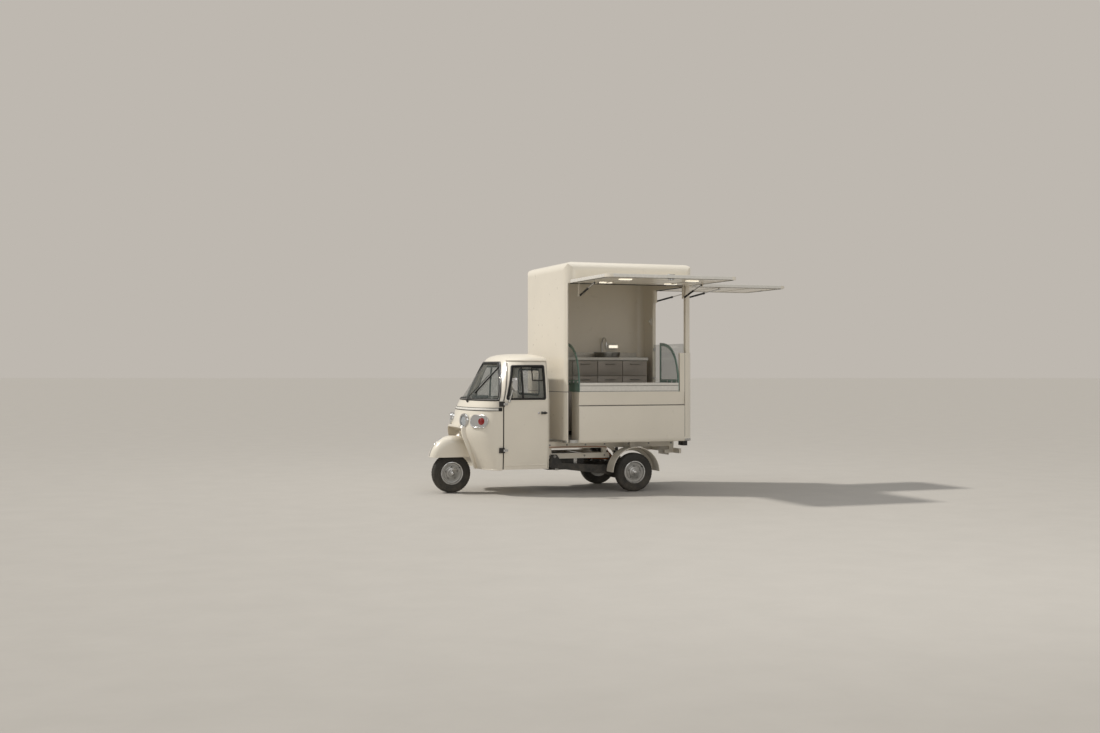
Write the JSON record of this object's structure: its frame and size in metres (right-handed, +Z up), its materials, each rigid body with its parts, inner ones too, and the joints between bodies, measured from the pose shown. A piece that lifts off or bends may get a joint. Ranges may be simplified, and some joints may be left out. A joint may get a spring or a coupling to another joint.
{
  "type": "electric cargo tricycle",
  "caption": "Three-wheeled light electric van with a rounded closed cab, a single steered front wheel and a tall sales body whose side and rear hatches are raised on gas struts.",
  "frame": {"origin": "on the floor under the front wheel, at the middle of its contact patch", "axes": "+X rearward along the vehicle, +Y to its right, +Z up"},
  "size_m": [4.4659, 2.72, 2.747],
  "materials": {
    "paint": "semi-gloss cream paint",
    "white_top": "white laminate",
    "cabinet": "matt grey laminate",
    "black": "satin black",
    "rubber": "matt black rubber",
    "seat": "dark leatherette",
    "chrome": "polished",
    "lens": "clear lens",
    "red_lens": "red lens",
    "lamp": "white diffuser",
    "glass": "clear",
    "tint": "green tinted edge",
    "silver": "silver",
    "tyre": "matt black"
  },
  "bodies": {
    "chassis": {"chassis_frame": "paint", "battery_block": "black", "drive_unit": "black", "trailing_arms": "black", "rear_mudguards": "paint", "rear_bumper": "paint", "tail_lamps": "red_lens", "cab_nose": "paint", "cab_floor": "paint", "cab_pillars": "paint", "cab_roof": "paint", "cab_rear_wall": "paint", "cab_rear_window": "glass", "windscreen": "glass", "windscreen_seal": "rubber", "dashboard": "black", "seat_frame": "black", "seat_cushion": "seat", "seat_backrest": "seat", "lamp_housings": "chrome", "headlamp_lenses": "lens", "indicator_lenses": "red_lens", "box_floor": "paint", "box_front_lower": "paint", "box_front_wall": "paint", "box_right_wall": "paint", "box_rear_wall": "paint", "box_roof": "paint", "hatch_post": "paint", "side_panel": "paint", "counter": "white_top", "back_cabinet": "cabinet", "guard_frames": "tint", "guard_glass": "glass", "rear_glass": "glass", "hinge_fittings": "black", "strut_brackets": "paint"},
    "steering": {"steering_fork": "black", "front_mudguard": "paint", "handlebar": "black"},
    "front_wheel": {"front_tyre": "tyre", "front_disc": "silver"},
    "rear_left_wheel": {"rear_left_tyre": "tyre", "rear_left_disc": "silver"},
    "rear_right_wheel": {"rear_right_tyre": "tyre", "rear_right_disc": "silver"},
    "left_door": {"left_door": "paint", "left_door_glass": "glass", "left_door_fittings": "chrome"},
    "right_door": {"right_door": "paint", "right_door_glass": "glass", "right_door_fittings": "chrome"},
    "left_hatch": {"left_hatch": "paint", "left_hatch_lamps": "lamp"},
    "rear_hatch": {"rear_hatch": "paint"},
    "left_tubes": {"left_strut_tubes": "black"},
    "left_rods": {"left_strut_rods": "chrome"},
    "rear_tubes": {"rear_strut_tubes": "black"},
    "rear_rods": {"rear_strut_rods": "chrome"}
  },
  "joints": [
    {"name": "steering_turn", "type": "hinge", "parent": "chassis", "child": "steering", "pos_m": [-0.075, 0, 0], "axis": [0.309, 0, 0.9511], "range_deg": [-35, 35]},
    {"name": "front_wheel_spin", "type": "hinge", "parent": "steering", "child": "front_wheel", "pos_m": [0, 0, 0.234], "axis": [0, 1, 0], "continuous": true},
    {"name": "rear_left_wheel_spin", "type": "hinge", "parent": "chassis", "child": "rear_left_wheel", "pos_m": [2.12, -0.58, 0.234], "axis": [0, 1, 0], "continuous": true},
    {"name": "rear_right_wheel_spin", "type": "hinge", "parent": "chassis", "child": "rear_right_wheel", "pos_m": [2.12, 0.58, 0.234], "axis": [0, 1, 0], "continuous": true},
    {"name": "left_door_swing", "type": "hinge", "parent": "chassis", "child": "left_door", "pos_m": [0.452, -0.676, 0.8], "axis": [0, 0, -1], "range_deg": [0, 68]},
    {"name": "right_door_swing", "type": "hinge", "parent": "chassis", "child": "right_door", "pos_m": [0.452, 0.676, 0.8], "axis": [0, 0, 1], "range_deg": [0, 68]},
    {"name": "left_hatch_close", "type": "hinge", "parent": "chassis", "child": "left_hatch", "pos_m": [2.04, -0.76, 2.498], "axis": [1, 0, 0], "range_deg": [0, 90]},
    {"name": "rear_hatch_close", "type": "hinge", "parent": "chassis", "child": "rear_hatch", "pos_m": [2.865, -0.117, 2.498], "axis": [0, 1, 0], "range_deg": [0, 90]},
    {"name": "left_strut_turn", "type": "hinge", "parent": "chassis", "child": "left_tubes", "pos_m": [2.04, -0.73, 2.348], "axis": [1, 0, 0], "range_deg": [0, 104.98]},
    {"name": "left_strut_slide", "type": "slide", "parent": "left_tubes", "child": "left_rods", "axis": [0, -0.9662, 0.2577], "range_m": [-0.19623, 0]},
    {"name": "rear_strut_turn", "type": "hinge", "parent": "chassis", "child": "rear_tubes", "pos_m": [2.835, -0.117, 2.348], "axis": [0, 1, 0], "range_deg": [0, 104.98]},
    {"name": "rear_strut_slide", "type": "slide", "parent": "rear_tubes", "child": "rear_rods", "axis": [0.9662, 0, 0.2577], "range_m": [-0.19623, 0]}
  ],
  "couplings": [
    {"joint": "left_strut_turn", "follows": "left_hatch_close", "ratio": 1.1659},
    {"joint": "left_strut_slide", "follows": "left_hatch_close", "m_per_rad": -0.1246},
    {"joint": "rear_strut_turn", "follows": "rear_hatch_close", "ratio": 1.1659},
    {"joint": "rear_strut_slide", "follows": "rear_hatch_close", "m_per_rad": -0.1246}
  ]
}
